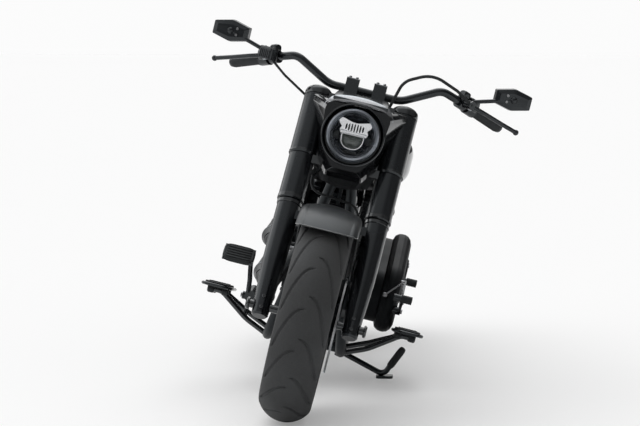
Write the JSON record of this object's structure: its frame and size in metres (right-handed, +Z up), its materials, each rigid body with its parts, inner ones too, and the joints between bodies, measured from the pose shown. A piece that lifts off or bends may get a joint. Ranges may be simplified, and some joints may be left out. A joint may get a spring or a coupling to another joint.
{
  "type": "cruiser motorcycle",
  "caption": "Low cruiser motorcycle with a wide front tyre, shrouded fork, shield-shaped headlight nacelle, swept bar and footboards, leaning on its side stand.",
  "frame": {"origin": "on the floor under the middle of the bounding box, with the machine parked on its side stand", "axes": "+Z up, -Y towards the front wheel, +X to the rider's left, the side it leans to"},
  "size_m": [1.0818, 2.3768, 1.2186],
  "materials": {
    "gloss_black": "gloss",
    "dark_paint": "satin",
    "satin_black": "satin",
    "engine_grey": "matte",
    "disc_steel": "brushed",
    "bare_steel": "satin",
    "rubber": "matte",
    "tyre": "matte",
    "seat_cover": "matte",
    "lamp_red": "gloss",
    "plate_white": "satin",
    "clear_glass": "clear"
  },
  "bodies": {
    "chassis": {"main_frame": "satin_black", "swingarm": "satin_black", "swingarm_braces": "satin_black", "swingarm_pivot": "bare_steel", "engine_cases": "engine_grey", "cylinders": "engine_grey", "rocker_covers": "satin_black", "pushrod_tubes": "satin_black", "air_cleaner": "satin_black", "primary_cover": "engine_grey", "drive_pulley": "engine_grey", "drive_belt": "rubber", "exhaust_pipes": "satin_black", "mufflers": "satin_black", "fuel_tank": "gloss_black", "tank_console": "gloss_black", "seat": "seat_cover", "rear_fender": "gloss_black", "fender_struts": "satin_black", "tail_lights": "lamp_red", "plate_bracket": "plate_white", "oil_tank": "satin_black", "oil_cooler": "engine_grey", "footboards": "rubber", "footboard_brackets": "satin_black", "brake_pedal": "satin_black", "shift_lever": "satin_black", "rear_caliper": "satin_black", "rear_axle": "bare_steel", "stand_spring": "bare_steel"},
    "fork": {"triple_clamps": "satin_black", "fork_sliders": "satin_black", "fork_covers": "satin_black", "headlight_nacelle": "gloss_black", "headlight_shell": "gloss_black", "headlight_lens": "clear_glass", "handlebar": "satin_black", "risers": "satin_black", "grips": "rubber", "switch_housings": "satin_black", "control_levers": "satin_black", "brake_reservoir": "satin_black", "mirrors": "satin_black", "front_fender": "dark_paint", "fender_brackets": "satin_black", "front_caliper": "satin_black", "front_axle": "bare_steel", "clutch_cable": "rubber", "brake_hose": "rubber"},
    "front_wheel": {"front_tyre": "tyre", "front_rim": "satin_black", "front_disc": "disc_steel"},
    "rear_wheel": {"rear_tyre": "tyre", "rear_rim": "satin_black", "rear_disc": "disc_steel", "rear_pulley": "satin_black"},
    "side_stand": {"side_stand": "satin_black"}
  },
  "joints": [
    {"name": "steering", "type": "hinge", "parent": "chassis", "child": "fork", "pos_m": [-0.03499, -0.48184, 0.82241], "axis": [0.2051, 0.4987, 0.8422], "range_deg": [-28, 28]},
    {"name": "front_wheel_spin", "type": "hinge", "parent": "fork", "child": "front_wheel", "pos_m": [-0.15773, -0.86342, 0.31831], "axis": [0.9715, 0.0004, -0.2368], "continuous": true},
    {"name": "rear_wheel_spin", "type": "hinge", "parent": "chassis", "child": "rear_wheel", "pos_m": [-0.15773, 0.80158, 0.32087], "axis": [0.9715, 0.0004, -0.2368], "continuous": true},
    {"name": "stand_fold", "type": "hinge", "parent": "chassis", "child": "side_stand", "pos_m": [-0.09206, -0.01106, 0.08232], "axis": [0.3805, -0.0225, 0.9245], "range_deg": [0, 99]}
  ]
}
